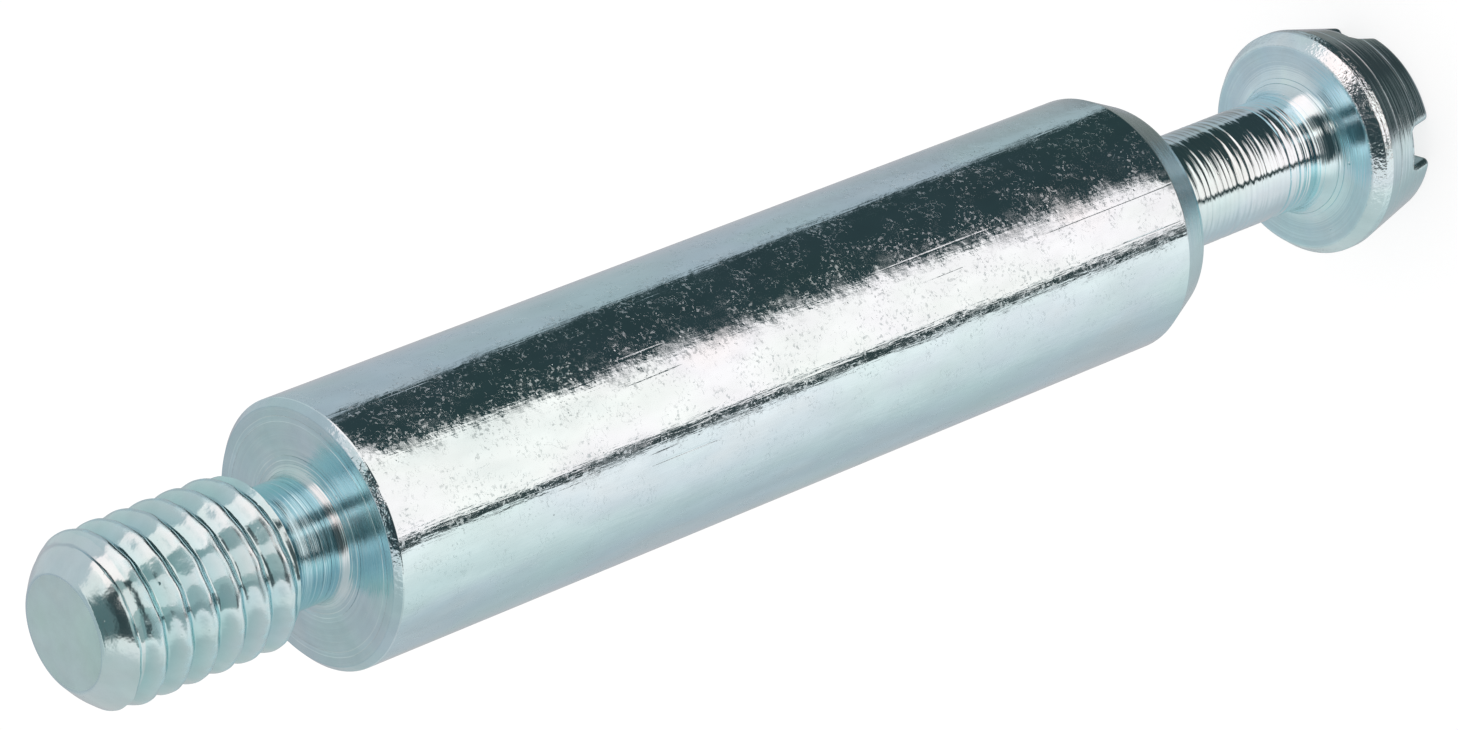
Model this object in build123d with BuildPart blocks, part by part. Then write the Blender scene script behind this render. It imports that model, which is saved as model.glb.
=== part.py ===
from build123d import *
import os

# A cam lock bolt, turned from one bar: a threaded stud, a smooth round body, a thin neck and a coned head.
# It stands on the flat end of its head, with the thread on top and +Z up along its axis.
# The origin is the centre of the shoulder, where the body seats on a panel. X and Y run along the slots.
# All sizes are in millimetres.

# Threaded stud, as wide as the crests of its thread
thread_diameter = 5.85
thread_length = 9.4
thread_tip_diameter = 3.9
thread_tip_chamfer = 1.05
thread_tip_round = 0.2

# Relief groove between the thread and the shoulder
relief_diameter = 4.15
relief_width = 1.9
relief_slope_length = 0.6
relief_corner_radius = 0.35

# Body
body_diameter = 9.0
body_length = 36.0
body_seat_chamfer = 0.26
body_nose_chamfer_depth = 0.63
body_nose_chamfer_length = 1.35
body_nose_round = 0.12

# Neck, where a cam takes hold behind the head
neck_diameter = 4.1
neck_length = 8.5
neck_body_radius = 0.25
neck_head_radius = 0.95

# Head
head_diameter = 8.09
head_length = 3.45
head_edge_depth = 0.34
head_edge_length = 0.48
head_land_length = 0.3
head_edge_round = 0.1
head_end_diameter = 6.76
head_end_round = 0.15

# Cross drive in the end of the head: two slots that run out through the cone, and a pocket in the middle
slot_width = 1.43
slot_depth = 1.22
pocket_width = 2.5
pocket_depth = 2.5
pocket_draft = 7.0

# Heights, counted from the shoulder: the thread is above it, and the body, neck and head are below
tip_z = thread_length
neck_z = -body_length
head_z = neck_z - neck_length
end_z = head_z - head_length

# Half section, from the tip down: each corner is its radius, its height and the radius of its rounding
section_corners = [
    ((thread_tip_diameter / 2, tip_z), thread_tip_round),
    ((thread_diameter / 2, tip_z - thread_tip_chamfer), 0),
    ((thread_diameter / 2, relief_width + relief_slope_length), 0),
    ((relief_diameter / 2, relief_width), relief_corner_radius),
    ((relief_diameter / 2, 0), relief_corner_radius),
    ((body_diameter / 2 - body_seat_chamfer, 0), 0),
    ((body_diameter / 2, -body_seat_chamfer), 0),
    ((body_diameter / 2, neck_z + body_nose_chamfer_length), 0),
    ((body_diameter / 2 - body_nose_chamfer_depth, neck_z), body_nose_round),
    ((neck_diameter / 2, neck_z), neck_body_radius),
    ((neck_diameter / 2, head_z), neck_head_radius),
    ((head_diameter / 2 - head_edge_depth, head_z), head_edge_round),
    ((head_diameter / 2, head_z - head_edge_length), head_edge_round),
    ((head_diameter / 2, head_z - head_edge_length - head_land_length), head_edge_round),
    ((head_end_diameter / 2, end_z), head_end_round),
]
section_points = [(0, tip_z)] + [point for point, rounding in section_corners] + [(0, end_z)]
section_roundings = [rounding for point, rounding in section_corners]

# Angle of the half section's plane about the axis, midway between two slots
section_turn = (0, 0, 45)

with BuildPart() as cam_bolt:
    # The turned form, whole
    with BuildSketch(Plane.XZ.rotated(section_turn)) as half_section:
        with BuildLine() as outline:
            FilletPolyline(*section_points, radius=section_roundings)
            Line(section_points[-1], section_points[0])
        make_face()
    revolve(axis=Axis.Z)

    # Two crossed slots up from the end of the head, open at its sides
    with BuildSketch(Plane.XY.offset(end_z)) as cross:
        Rectangle(head_diameter, slot_width)
        Rectangle(slot_width, head_diameter)
    extrude(amount=slot_depth, mode=Mode.SUBTRACT)

    # The pocket, a square that narrows with depth, with its corners in the slots
    with BuildSketch(Plane.XY.offset(end_z)) as pocket:
        Rectangle(pocket_width, pocket_width, rotation=45)
    extrude(amount=pocket_depth, taper=pocket_draft, mode=Mode.SUBTRACT)

cam_bolt.part.label = "cam_bolt"

os.makedirs("parts", exist_ok=True)
export_step(cam_bolt.part, "parts/cam_bolt.step")
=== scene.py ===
import logging
import math
from dataclasses import dataclass, field
from enum import Enum

import bmesh
import bpy
import numpy as np
from mathutils import Matrix

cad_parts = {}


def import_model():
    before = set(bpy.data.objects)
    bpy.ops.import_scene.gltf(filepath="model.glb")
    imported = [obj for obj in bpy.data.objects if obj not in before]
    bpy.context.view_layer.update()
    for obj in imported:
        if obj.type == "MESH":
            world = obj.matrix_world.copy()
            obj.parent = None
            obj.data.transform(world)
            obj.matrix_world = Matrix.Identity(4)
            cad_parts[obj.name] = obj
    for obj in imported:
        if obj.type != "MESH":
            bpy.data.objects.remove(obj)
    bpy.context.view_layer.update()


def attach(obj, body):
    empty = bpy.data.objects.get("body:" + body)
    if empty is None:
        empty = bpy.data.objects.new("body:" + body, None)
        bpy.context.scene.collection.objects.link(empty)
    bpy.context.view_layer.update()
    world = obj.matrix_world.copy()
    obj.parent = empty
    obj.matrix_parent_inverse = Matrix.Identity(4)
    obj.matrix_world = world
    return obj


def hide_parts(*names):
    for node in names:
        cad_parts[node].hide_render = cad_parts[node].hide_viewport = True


LOG = logging.getLogger("cam_bolt")
MM = 0.001
Colour = tuple[float, float, float]
Span = tuple[float, float]
Socket = bpy.types.NodeSocket

# Cosine and sine of the four quarter turns about the axis
QUARTERS = ((1, 0), (0, 1), (-1, 0), (0, -1))
# Degrees of turn between the points of a rounding, and the least number of stretches in it
ARC_STEP = 9
ARC_LEAST = 3
# Where the slots' floor and the pocket start along the outline. Their finish has no rings, so it isn't seen.
FLOOR_ALONG = 70
POCKET_ALONG = 80
# Points nearer than this are one, shorter edges are taken out, and edges with a steeper fold stay sharp
MERGE_DISTANCE = 0.001 * MM
SHORTEST_EDGE = 0.0005 * MM
SHARP_ANGLE = math.radians(38)


class Skin(Enum):
    """The stretches of the bolt's surface that are finished alike.

    A value is the place of the material slot.
    """

    TIP = 0
    THREAD = 1
    GROOVE = 2
    SHOULDER = 3
    EDGE = 4
    BODY = 5
    NOSE = 6
    NECK = 7
    HEAD_BACK = 8
    CONE = 9
    SLOT = 10
    RIM = 11


@dataclass(frozen=True)
class Turn:
    """One corner of the turned outline, in millimetres.

    Args:
        radius: distance from the axis.
        height: place along the axis, counted from the shoulder.
        rounding: radius of the corner's rounding.
        skin: finish of the rounding and of the straight stretch after it.
        step: distance between rings on that stretch.
    """

    radius: float
    height: float
    rounding: float
    skin: Skin
    step: float


@dataclass
class Patch:
    """A grid of quads.

    Args:
        points: its points, in millimetres.
        faces: four point numbers for each face.
        skins: value of each face's skin.
        along: way of each point along the outline, in millimetres.
    """

    points: np.ndarray
    faces: np.ndarray
    skins: np.ndarray
    along: np.ndarray


def grid_faces(rows: int, columns: int, closed: bool) -> np.ndarray:
    """Quads of a grid whose points are numbered row by row.

    Args:
        rows: number of rows of points.
        columns: number of points in a row.
        closed: whether each row joins its own start.

    Returns:
        An array of four point numbers for each face.
    """
    wide = columns if closed else columns - 1
    row, column = np.meshgrid(np.arange(rows - 1), np.arange(wide), indexing="ij")
    after = (column + 1) % columns
    here, below = row * columns, (row + 1) * columns
    return np.stack([here + column, here + after, below + after, below + column], axis=-1).reshape(-1, 4)


@dataclass
class Outline:
    """The half section of the bolt as rings from its tip down to the floor of the head's slots.

    A rounding of radius q between two straight stretches starts q times the tangent of half the turn before
    the corner, and runs round a centre that lies q inside both stretches.

    Args:
        turns: the corners, from the tip down.
    """

    turns: list[Turn]
    radius: np.ndarray = field(init=False)
    height: np.ndarray = field(init=False)
    along: np.ndarray = field(init=False)
    skin: np.ndarray = field(init=False)

    def __post_init__(self) -> None:
        """Walks along the corners and lays the rings."""
        corners = np.array([(t.radius, t.height) for t in self.turns])
        points, skins = [corners[:1]], []
        entry = corners[0]
        for i, turn in enumerate(self.turns[1:], start=1):
            before = self.turns[i - 1]
            if i == len(self.turns) - 1 or turn.rounding == 0:
                start, arc = corners[i], np.empty((0, 2))
            else:
                arc = self.arc(corners[i - 1], corners[i], corners[i + 1], turn.rounding)
                start, arc = arc[0], arc[1:]
            count = max(1, int(round(np.linalg.norm(start - entry) / before.step)))
            share = np.linspace(0, 1, count + 1)[1:, None]
            points += [entry + share * (start - entry), arc]
            skins += [before.skin.value] * count + [turn.skin.value] * len(arc)
            entry = arc[-1] if len(arc) else start
        rings = np.concatenate(points)
        self.radius, self.height = rings.T
        self.skin = np.array(skins)
        self.along = np.concatenate([[0], np.cumsum(np.linalg.norm(np.diff(rings, axis=0), axis=1))])

    @staticmethod
    def arc(before: np.ndarray, corner: np.ndarray, after: np.ndarray, rounding: float) -> np.ndarray:
        """Points of the rounding at one corner, with one about every nine degrees of turn.

        Args:
            before: corner before this one.
            corner: the corner that is rounded.
            after: corner after this one.
            rounding: radius of the arc.

        Returns:
            Points of radius and height, with both ends of the arc.
        """
        inward, outward = before - corner, after - corner
        inward, outward = inward / np.linalg.norm(inward), outward / np.linalg.norm(outward)
        half = 0.5 * math.acos(float(np.clip(inward @ outward, -1, 1)))
        middle = inward + outward
        centre = corner + middle / np.linalg.norm(middle) * rounding / math.sin(half)
        reach = rounding / math.tan(half)
        first, last = corner + inward * reach - centre, corner + outward * reach - centre
        sweep = math.pi - 2 * half
        steps = max(ARC_LEAST, int(math.ceil(math.degrees(sweep) / ARC_STEP)))
        share = np.linspace(0, 1, steps + 1)[:, None]
        return centre + (np.sin((1 - share) * sweep) * first + np.sin(share * sweep) * last) / math.sin(sweep)


@dataclass(frozen=True)
class Thread:
    """A right-hand thread with round roots and rounded, slightly uneven crests, in millimetres.

    Its groove is shallower than that of a full thread of this pitch, which is about 0.6 mm deep.

    Args:
        pitch: distance from crest to crest.
        crest_radius: radius of the crests.
        depth: depth of the groove.
        upper_share: share of the pitch from a crest to the root over it.
        crest_height: height of one crest.
        crest_bearing: bearing at which that crest is so high, in degrees.
        crest_softness: softness of the crests' rounding.
        unevenness: how far the waves shift a crest.
        waves: count round the part and step from crest to crest, in radians, of each wave.
        abraded_and_highlit_width: width over which a crest's wear and painted highlight fade.
        abraded_and_highlit_shift: how far over the crest the wear and painted highlight are strongest.
        abraded_and_highlit_radius: radius from which there is wear and painted highlight.
        abraded_and_highlit_rise: way outwards over which they come in.
        foot: height from which the crests' wear and painted highlight and the groove's painted shade apply.
        abraded_and_highlit_top: height up to which they can carry the wear and painted highlight.
        sunk_top: height up to which they can carry the groove's painted shade.
    """

    pitch: float = 1.0
    crest_radius: float = 2.925
    depth: float = 0.33
    upper_share: float = 0.6
    crest_height: float = 1.9
    crest_bearing: float = -62.6
    crest_softness: float = 0.04
    unevenness: float = 0.034
    waves: tuple[Span, ...] = ((9, 2.3), (17, 4.1))
    abraded_and_highlit_width: float = 0.12
    abraded_and_highlit_shift: float = 0.03
    abraded_and_highlit_radius: float = 2.66
    abraded_and_highlit_rise: float = 0.14
    foot: float = 2.1
    abraded_and_highlit_top: float = 8.6
    sunk_top: float = 8.3

    def cut(self, radius: np.ndarray, height: np.ndarray, bearing: np.ndarray) -> np.ndarray:
        """Sinks the thread into the turned form.

        From each crest the groove falls to its root over the upper share of the pitch, and from the root it
        rises to the next crest over the rest. On both sides its depth follows the squared sine of a quarter
        turn. Two sine waves round the part shift each crest a little. Where the groove runs out of the turned
        form, the soft lower of two values, half of their sum less the root of their squared difference plus
        the squared softness, rounds the crest.

        Args:
            radius: radius of the turned form at each point.
            height: height of each point.
            bearing: angle of each point about the axis, in degrees.

        Returns:
            The radius of each point with the thread in it.
        """
        away = self.from_crest(height, bearing)
        share = np.where(away > 0, away / self.upper_share, -away / (1 - self.upper_share))
        groove = self.crest_radius - self.depth * np.sin(0.5 * np.pi * share) ** 2
        gap = radius - groove
        return np.minimum(radius, 0.5 * (radius + groove - np.sqrt(gap * gap + self.crest_softness**2)))

    def from_crest(self, height: np.ndarray, bearing: np.ndarray) -> np.ndarray:
        """Finds the way along the axis from the crest that each point belongs to, as a share of the pitch.

        Args:
            height: height of each point.
            bearing: angle of each point about the axis, in degrees.

        Returns:
            A number that is 0 on a crest, above 0 over it and below 0 under it.
        """
        turns = (height - self.crest_height) / self.pitch - (bearing - self.crest_bearing) / 360
        crest = np.ceil(turns - self.upper_share)
        angle = np.radians(bearing)
        waves = sum(np.sin(count * angle + step * crest) for count, step in self.waves)
        shift = self.unevenness * waves / len(self.waves)
        return turns - crest + shift / self.pitch

    def abrasion_and_highlight(self, points: np.ndarray) -> np.ndarray:
        """Wear and painted highlight at each point: a bell curve over the way from a crest that stands out.

        Args:
            points: points of the bolt.

        Returns:
            A number from 0 to 1 for each point.
        """
        bearing = np.degrees(np.arctan2(points[:, 1], points[:, 0]))
        away = self.from_crest(points[:, 2], bearing) * self.pitch - self.abraded_and_highlit_shift
        out = np.clip((np.hypot(points[:, 0], points[:, 1]) - self.abraded_and_highlit_radius) / self.abraded_and_highlit_rise, 0, 1)
        return np.exp(-((away / self.abraded_and_highlit_width) ** 2)) * out * self.between(points, self.abraded_and_highlit_top)

    def sunk(self, points: np.ndarray) -> np.ndarray:
        """How deep in the thread's groove each point is, from 0 on a crest to 1 at the root, for its painted
        shade.
        """
        sunk = np.clip((self.crest_radius - np.hypot(points[:, 0], points[:, 1])) / self.depth, 0, 1)
        return sunk * self.between(points, self.sunk_top)

    def between(self, points: np.ndarray, top: float) -> np.ndarray:
        """Whether each point lies between the foot and a top."""
        return (points[:, 2] > self.foot) & (points[:, 2] < top)


@dataclass(frozen=True)
class FeedMarks:
    """Marks that the turning tool leaves on the neck: shallow round furrows of uneven depth, in millimetres.

    Args:
        top: height at which they begin.
        bottom: height at which they end.
        pitch: usual width of a furrow.
        depth: depth of the deepest one.
        widths: narrowest and widest furrow, as shares of the pitch.
        depths: shallowest and deepest furrow, as shares of the depth, before the power.
        power: power of the depths, which makes most of them shallow.
        fade: length over which the marks fade at both ends.
        seed: seed of the random widths and depths.
    """

    top: float = -36.15
    bottom: float = -44.3
    pitch: float = 0.21
    depth: float = 0.0235
    widths: Span = (0.35, 1.65)
    depths: Span = (0.1, 1.0)
    power: float = 1.3
    fade: float = 0.3
    seed: int = 7

    def cut(self, height: np.ndarray) -> np.ndarray:
        """Depth of the furrows at each height.

        Within a furrow the depth follows half a sine wave, and each furrow has its own width and depth, most
        of them shallow. The marks fade out towards both ends.

        Args:
            height: height of each ring.

        Returns:
            How far each ring sinks.
        """
        rng = np.random.default_rng(self.seed)
        count = int((self.top - self.bottom) / self.pitch) + 2
        widths = self.pitch * rng.uniform(*self.widths, count)
        ends = self.top - np.concatenate([[0], np.cumsum(widths)])
        depths = self.depth * rng.uniform(*self.depths, count) ** self.power
        index = np.clip(np.searchsorted(-ends, -height, side="right") - 1, 0, count - 1)
        share = np.clip((ends[index] - height) / widths[index], 0, 1)
        fade = np.clip(np.minimum(self.top - height, height - self.bottom) / self.fade, 0, 1)
        return depths[index] * np.sin(np.pi * share) * fade


@dataclass
class CamBolt:
    """The bolt, turned from one bar, with its thread, feed marks and slotted head.

    Sizes are in millimetres, and heights count from the shoulder up to the tip. The thread is cut over
    thread_foot and outside tip_radius, and the feed marks inside marks_radius. The rises and shares are
    those of the rings of the lobes, of their end faces, and of the pocket's walls and point.
    """

    thread: Thread = Thread()
    thread_foot: float = 1.2
    tip_radius: float = 1.7
    marks: FeedMarks = FeedMarks()
    marks_radius: float = 3.2
    head_radius: float = 4.045
    end_radius: float = 3.38
    cone_top: float = -45.28
    end_height: float = -47.95
    slot_half_width: float = 0.715
    slot_depth: float = 1.22
    slot_steps: int = 10
    lobe_steps: int = 28
    lobe_rises: tuple[float, ...] = (0, 0.06, 0.14, 0.25, 0.4, 0.6, 0.8, 0.95)
    wall_steps: int = 8
    chamfer_steps: int = 4
    corner_steps: int = 4
    corner_rounding: float = 0.18
    corner_run_in: float = 0.3
    edge_rounding: float = 0.15
    edge_steps: int = 4
    face_shares: tuple[float, ...] = (0.75, 0.5, 0.25, 0.0)
    face_start: float = 0.4
    face_step: float = 0.8
    pocket_reach: float = 1.768
    pocket_depth: float = 2.5
    pocket_rises: tuple[float, ...] = (0, 0.35, 0.7, 1.0)
    point_depth: float = 0.35
    point_rises: tuple[float, ...] = (0.3, 0.65, 1.0)
    point_shares: tuple[float, ...] = (0.7, 0.35, 0.0)
    outline_length: float = field(init=False, default=0.0)

    def cone(self, height: np.ndarray | float) -> np.ndarray | float:
        """Radius of the head's cone: it falls in a straight line from the land to the end."""
        fall = (self.head_radius - self.end_radius) / (self.cone_top - self.end_height)
        return self.head_radius - fall * (self.cone_top - height)

    def cone_along(self, height: np.ndarray) -> np.ndarray:
        """Way along the outline at a height on the head's cone, so that its marks run on over the lobes."""
        return self.outline_length + (self.floor_height - height)

    @property
    def floor_height(self) -> float:
        """Height of the slots' floor."""
        return self.end_height + self.slot_depth

    @property
    def slot_edge(self) -> float:
        """Angle from a slot's middle to its edge on the cone at the slots' floor, in radians."""
        return math.asin(self.slot_half_width / self.cone(self.floor_height))

    def turns(self) -> list[Turn]:
        """Corners of the outline, from the middle of the tip to the slots' floor."""
        return [
            Turn(0, 9.4, 0, Skin.TIP, 0.25),
            Turn(1.95, 9.4, 0.25, Skin.THREAD, 0.035),
            Turn(2.48, 8.915, 3.0, Skin.THREAD, 0.035),
            Turn(2.925, 8.35, 0, Skin.THREAD, 0.036),
            Turn(2.925, 2.5, 0, Skin.THREAD, 0.04),
            Turn(2.075, 1.9, 0.35, Skin.GROOVE, 0.06),
            Turn(2.075, 0, 0.35, Skin.SHOULDER, 0.12),
            Turn(4.28, 0, 0.06, Skin.EDGE, 0.06),
            Turn(4.5, -0.22, 0.08, Skin.BODY, 0.9),
            Turn(4.5, -34.65, 0.06, Skin.NOSE, 0.12),
            Turn(3.87, -36, 0.08, Skin.NOSE, 0.12),
            Turn(2.05, -36, 0.25, Skin.NECK, 0.042),
            Turn(2.05, -44.5, 0.95, Skin.HEAD_BACK, 0.12),
            Turn(3.74, -44.5, 0.12, Skin.RIM, 0.06),
            Turn(4.045, -44.93, 0.12, Skin.RIM, 0.06),
            Turn(4.045, -45.28, 0.08, Skin.CONE, 0.1),
            Turn(float(self.cone(self.floor_height)), self.floor_height, 0, Skin.CONE, 0.1),
        ]

    def bearings(self) -> np.ndarray:
        """Angles of the columns about the axis: even within each slot's opening and within each lobe.

        Returns:
            The angles in degrees, from the edge of the first slot round to where they began.
        """
        edge = math.degrees(self.slot_edge)
        slot = np.linspace(-edge, edge, self.slot_steps + 1)[:-1]
        lobe = np.linspace(edge, 90 - edge, self.lobe_steps + 1)[:-1]
        quarter = np.concatenate([slot, lobe])
        return np.concatenate([quarter + 90 * k for k in range(4)])

    def turned(self) -> Patch:
        """The surface of revolution, with the thread and the marks cut in.

        A point is its ring's radius times the cosine and the sine of its bearing, at its ring's height.

        Returns:
            The turned form, from the middle of the tip to the slots' floor.
        """
        outline = Outline(self.turns())
        self.outline_length = float(outline.along[-1])
        bearing = self.bearings()
        radius = np.repeat(outline.radius[:, None], len(bearing), axis=1)
        height = np.repeat(outline.height[:, None], len(bearing), axis=1)
        around = np.where(bearing > 180, bearing - 360, bearing)[None, :]
        threaded = (outline.height > self.thread_foot) & (outline.radius > self.tip_radius)
        radius[threaded] = self.thread.cut(radius[threaded], height[threaded], around)
        marks = np.where(outline.radius < self.marks_radius, self.marks.cut(outline.height), 0)
        radius -= marks[:, None]
        angle = np.radians(bearing)[None, :]
        points = np.stack([radius * np.cos(angle), radius * np.sin(angle), height], axis=-1)
        return Patch(
            points.reshape(-1, 3),
            grid_faces(len(outline.radius), len(bearing), closed=True),
            np.repeat(outline.skin, len(bearing)),
            np.repeat(outline.along, len(bearing)),
        )

    def lobe_ring(self, radius: float, half: float, reach: float, rounding: float) -> np.ndarray:
        """Outline of the lobe in the first quarter at one height.

        It runs along the wall y = half, round a small corner, along the arc of the cone, round the other
        corner, back along the wall x = half, and along the pocket's wall x + y = reach.

        Args:
            radius: radius of the cone there.
            half: distance of the walls from the slots' middle.
            reach: x + y on the pocket's wall.
            rounding: radius of the two outer corners.

        Returns:
            Points of x and y, closed by joining the last to the first.
        """
        across = half + rounding
        middle = math.sqrt((radius - rounding) ** 2 - across**2)
        tip = math.atan2(across, middle)
        wall = np.linspace(reach - half, middle, self.wall_steps + 1)
        first = np.stack([wall, np.full_like(wall, half)], axis=-1)
        turn = np.linspace(-math.pi / 2, tip, self.corner_steps + 1)[1:]
        corner = np.stack([middle + rounding * np.cos(turn), across + rounding * np.sin(turn)], axis=-1)
        sweep = np.linspace(tip, math.pi / 2 - tip, self.lobe_steps + 1)[1:]
        arc = radius * np.stack([np.cos(sweep), np.sin(sweep)], axis=-1)
        back = corner[::-1, ::-1][1:]
        second = first[::-1, ::-1]
        inner = np.linspace(0, 1, self.chamfer_steps + 1)[1:-1, None]
        chamfer = second[-1] + inner * (first[0] - second[-1])
        return np.concatenate([first, corner, arc, back, second, chamfer])

    def lobe(self) -> Patch:
        """The lobe of the first quarter, from the slots' floor to the end face.

        Rings rise by the listed rises. Over the last stretch they draw in along a quarter circle, which
        rounds the edges of the end face, and then they shrink to the lobe's middle to close it.

        Returns:
            The lobe's walls and end face.
        """
        plain = np.zeros(len(self.lobe_rises))
        rise = np.array(self.lobe_rises) * (self.slot_depth - self.edge_rounding) / self.lobe_rises[-1]
        turn = np.linspace(0, math.pi / 2, self.edge_steps + 1)[1:]
        face = self.face_start + self.face_step * np.arange(1, len(self.face_shares) + 1)
        draw_in = np.concatenate([plain, 0.5 * self.edge_rounding * turn, face])
        rise = np.concatenate([rise, rise[-1] + self.edge_rounding * np.sin(turn)])
        draw = np.concatenate([plain, self.edge_rounding * (1 - np.cos(turn))])
        width = 2 * self.slot_half_width
        rings = []
        for up, inset in zip(rise, draw):
            height = self.floor_height - up
            reach = width + (self.pocket_reach - width) * up / self.slot_depth
            rounding = self.corner_rounding * min(1.0, up / self.corner_run_in)
            half = self.slot_half_width + 0.5 * inset
            ring = self.lobe_ring(float(self.cone(height)) - inset, half, reach + inset, rounding)
            rings.append(np.column_stack([ring, np.full(len(ring), height)]))
        middle = rings[-1].mean(axis=0)
        rings += [middle + share * (rings[-1] - middle) for share in self.face_shares]
        count, columns = len(rings), len(rings[0])
        skins = np.full((count - 1, columns), Skin.SLOT.value)
        outer = slice(self.wall_steps, self.wall_steps + 2 * self.corner_steps + self.lobe_steps)
        skins[: len(rise) - 1, outer] = Skin.CONE.value
        skins[len(rise) - 1 :] = Skin.HEAD_BACK.value
        points = np.concatenate(rings)
        along = self.cone_along(points[:, 2]) + np.repeat(draw_in, columns)
        return Patch(points, grid_faces(count, columns, closed=True), skins.reshape(-1), along)

    def slot_floor(self) -> Patch:
        """The floor of the slot along +X, from the pocket's edge x = reach - |y| out to the cone.

        Returns:
            The floor, as even steps from the edge to the cone on each line across.
        """
        angle = np.linspace(-self.slot_edge, self.slot_edge, self.slot_steps + 1)
        rim = self.cone(self.floor_height) * np.stack([np.cos(angle), np.sin(angle)], axis=-1)
        inner = np.stack([2 * self.slot_half_width - np.abs(rim[:, 1]), rim[:, 1]], axis=-1)
        share = np.linspace(0, 1, self.wall_steps + 1)[:, None, None]
        plane = (1 - share) * inner + share * rim
        level = np.full(plane.shape[:2] + (1,), self.floor_height)
        points = np.concatenate([plane, level], axis=-1).reshape(-1, 3)
        faces = grid_faces(self.wall_steps + 1, self.slot_steps + 1, closed=False)
        along = FLOOR_ALONG + np.hypot(points[:, 0], points[:, 1])
        return Patch(points, faces, np.full(len(faces), Skin.SLOT.value), along)

    def pocket(self) -> Patch:
        """The pocket's four walls, which draw in as they rise, and its shallow point.

        A ring is the loop of the four slots' inner edges times a share that falls evenly with the rise.

        Returns:
            The pocket, closed at its point.
        """
        angle = np.linspace(-self.slot_edge, self.slot_edge, self.slot_steps + 1)
        side = self.cone(self.floor_height) * np.sin(angle)[:-1]
        arm = np.stack([2 * self.slot_half_width - np.abs(side), side], axis=-1)
        loop = np.concatenate([arm @ np.array([[c, s], [-s, c]]) for c, s in QUARTERS])
        top = self.end_height + self.pocket_depth
        narrow = (self.pocket_reach - 2 * self.slot_half_width) / self.slot_depth
        share = 1 - narrow * (self.pocket_depth - self.slot_depth) / (2 * self.slot_half_width)
        rise = np.array(self.pocket_rises)
        walls = self.floor_height + (top - self.floor_height) * rise
        heights = np.concatenate([walls, top + self.point_depth * np.array(self.point_rises)])
        scales = np.concatenate([1 - (1 - share) * rise, share * np.array(self.point_shares)])
        rings = [np.column_stack([loop * k, np.full(len(loop), z)]) for k, z in zip(scales, heights)]
        points = np.concatenate(rings)
        faces = grid_faces(len(scales), len(loop), closed=True)
        return Patch(points, faces, np.full(len(faces), Skin.SLOT.value), POCKET_ALONG - points[:, 2])

    def patches(self) -> list[Patch]:
        """The turned form, the pocket, the four lobes and the four floors of the slots.

        Returns:
            The patches, which share their borders.
        """
        turns = [np.array([[c, s, 0], [-s, c, 0], [0, 0, 1]]) for c, s in QUARTERS]
        patches = [self.turned(), self.pocket()]
        for part in (self.lobe(), self.slot_floor()):
            patches += [Patch(part.points @ turn, part.faces, part.skins, part.along) for turn in turns]
        return patches

    def build(self) -> bpy.types.Object:
        """Joins the patches into one closed mesh.

        Returns:
            The bolt as an object at the origin.
        """
        patches = self.patches()
        starts = np.cumsum([0] + [len(p.points) for p in patches])
        points = np.concatenate([p.points for p in patches]) * MM
        faces = np.concatenate([p.faces + start for p, start in zip(patches, starts)])
        skins = np.concatenate([p.skins for p in patches]).astype(np.int32)
        mesh = bpy.data.meshes.new("cam_bolt_turned")
        mesh.from_pydata(points.tolist(), [], faces.tolist())
        mesh.polygons.foreach_set("material_index", skins)
        values = {
            "along_mm": np.concatenate([p.along for p in patches]),
            "abraded_and_highlit": self.thread.abrasion_and_highlight(points / MM),
            "sunk": self.thread.sunk(points / MM),
        }
        for name, value in values.items():
            mesh.attributes.new(name, "FLOAT", "POINT").data.foreach_set("value", value.astype(np.float32))
        work = bmesh.new()
        work.from_mesh(mesh)
        bmesh.ops.remove_doubles(work, verts=work.verts, dist=MERGE_DISTANCE)
        bmesh.ops.dissolve_degenerate(work, edges=work.edges, dist=SHORTEST_EDGE)
        bmesh.ops.recalc_face_normals(work, faces=work.faces)
        open_edges = sum(1 for edge in work.edges if len(edge.link_faces) != 2)
        work.to_mesh(mesh)
        work.free()
        mesh.polygons.foreach_set("use_smooth", np.ones(len(mesh.polygons), dtype=bool))
        mesh.set_sharp_from_angle(angle=SHARP_ANGLE)
        bolt = link_object("cam_bolt_turned", mesh)
        LOG.info("cam_bolt_turned: %d faces, %d open edges", len(mesh.polygons), open_edges)
        return bolt


def link_object(name: str, data: bpy.types.ID) -> bpy.types.Object:
    """Makes an object of a mesh or a camera and links it to the scene.

    Args:
        name: the object's name.
        data: what it shows.

    Returns:
        The object.
    """
    thing = bpy.data.objects.new(name, data)
    bpy.context.scene.collection.objects.link(thing)
    return thing


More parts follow.
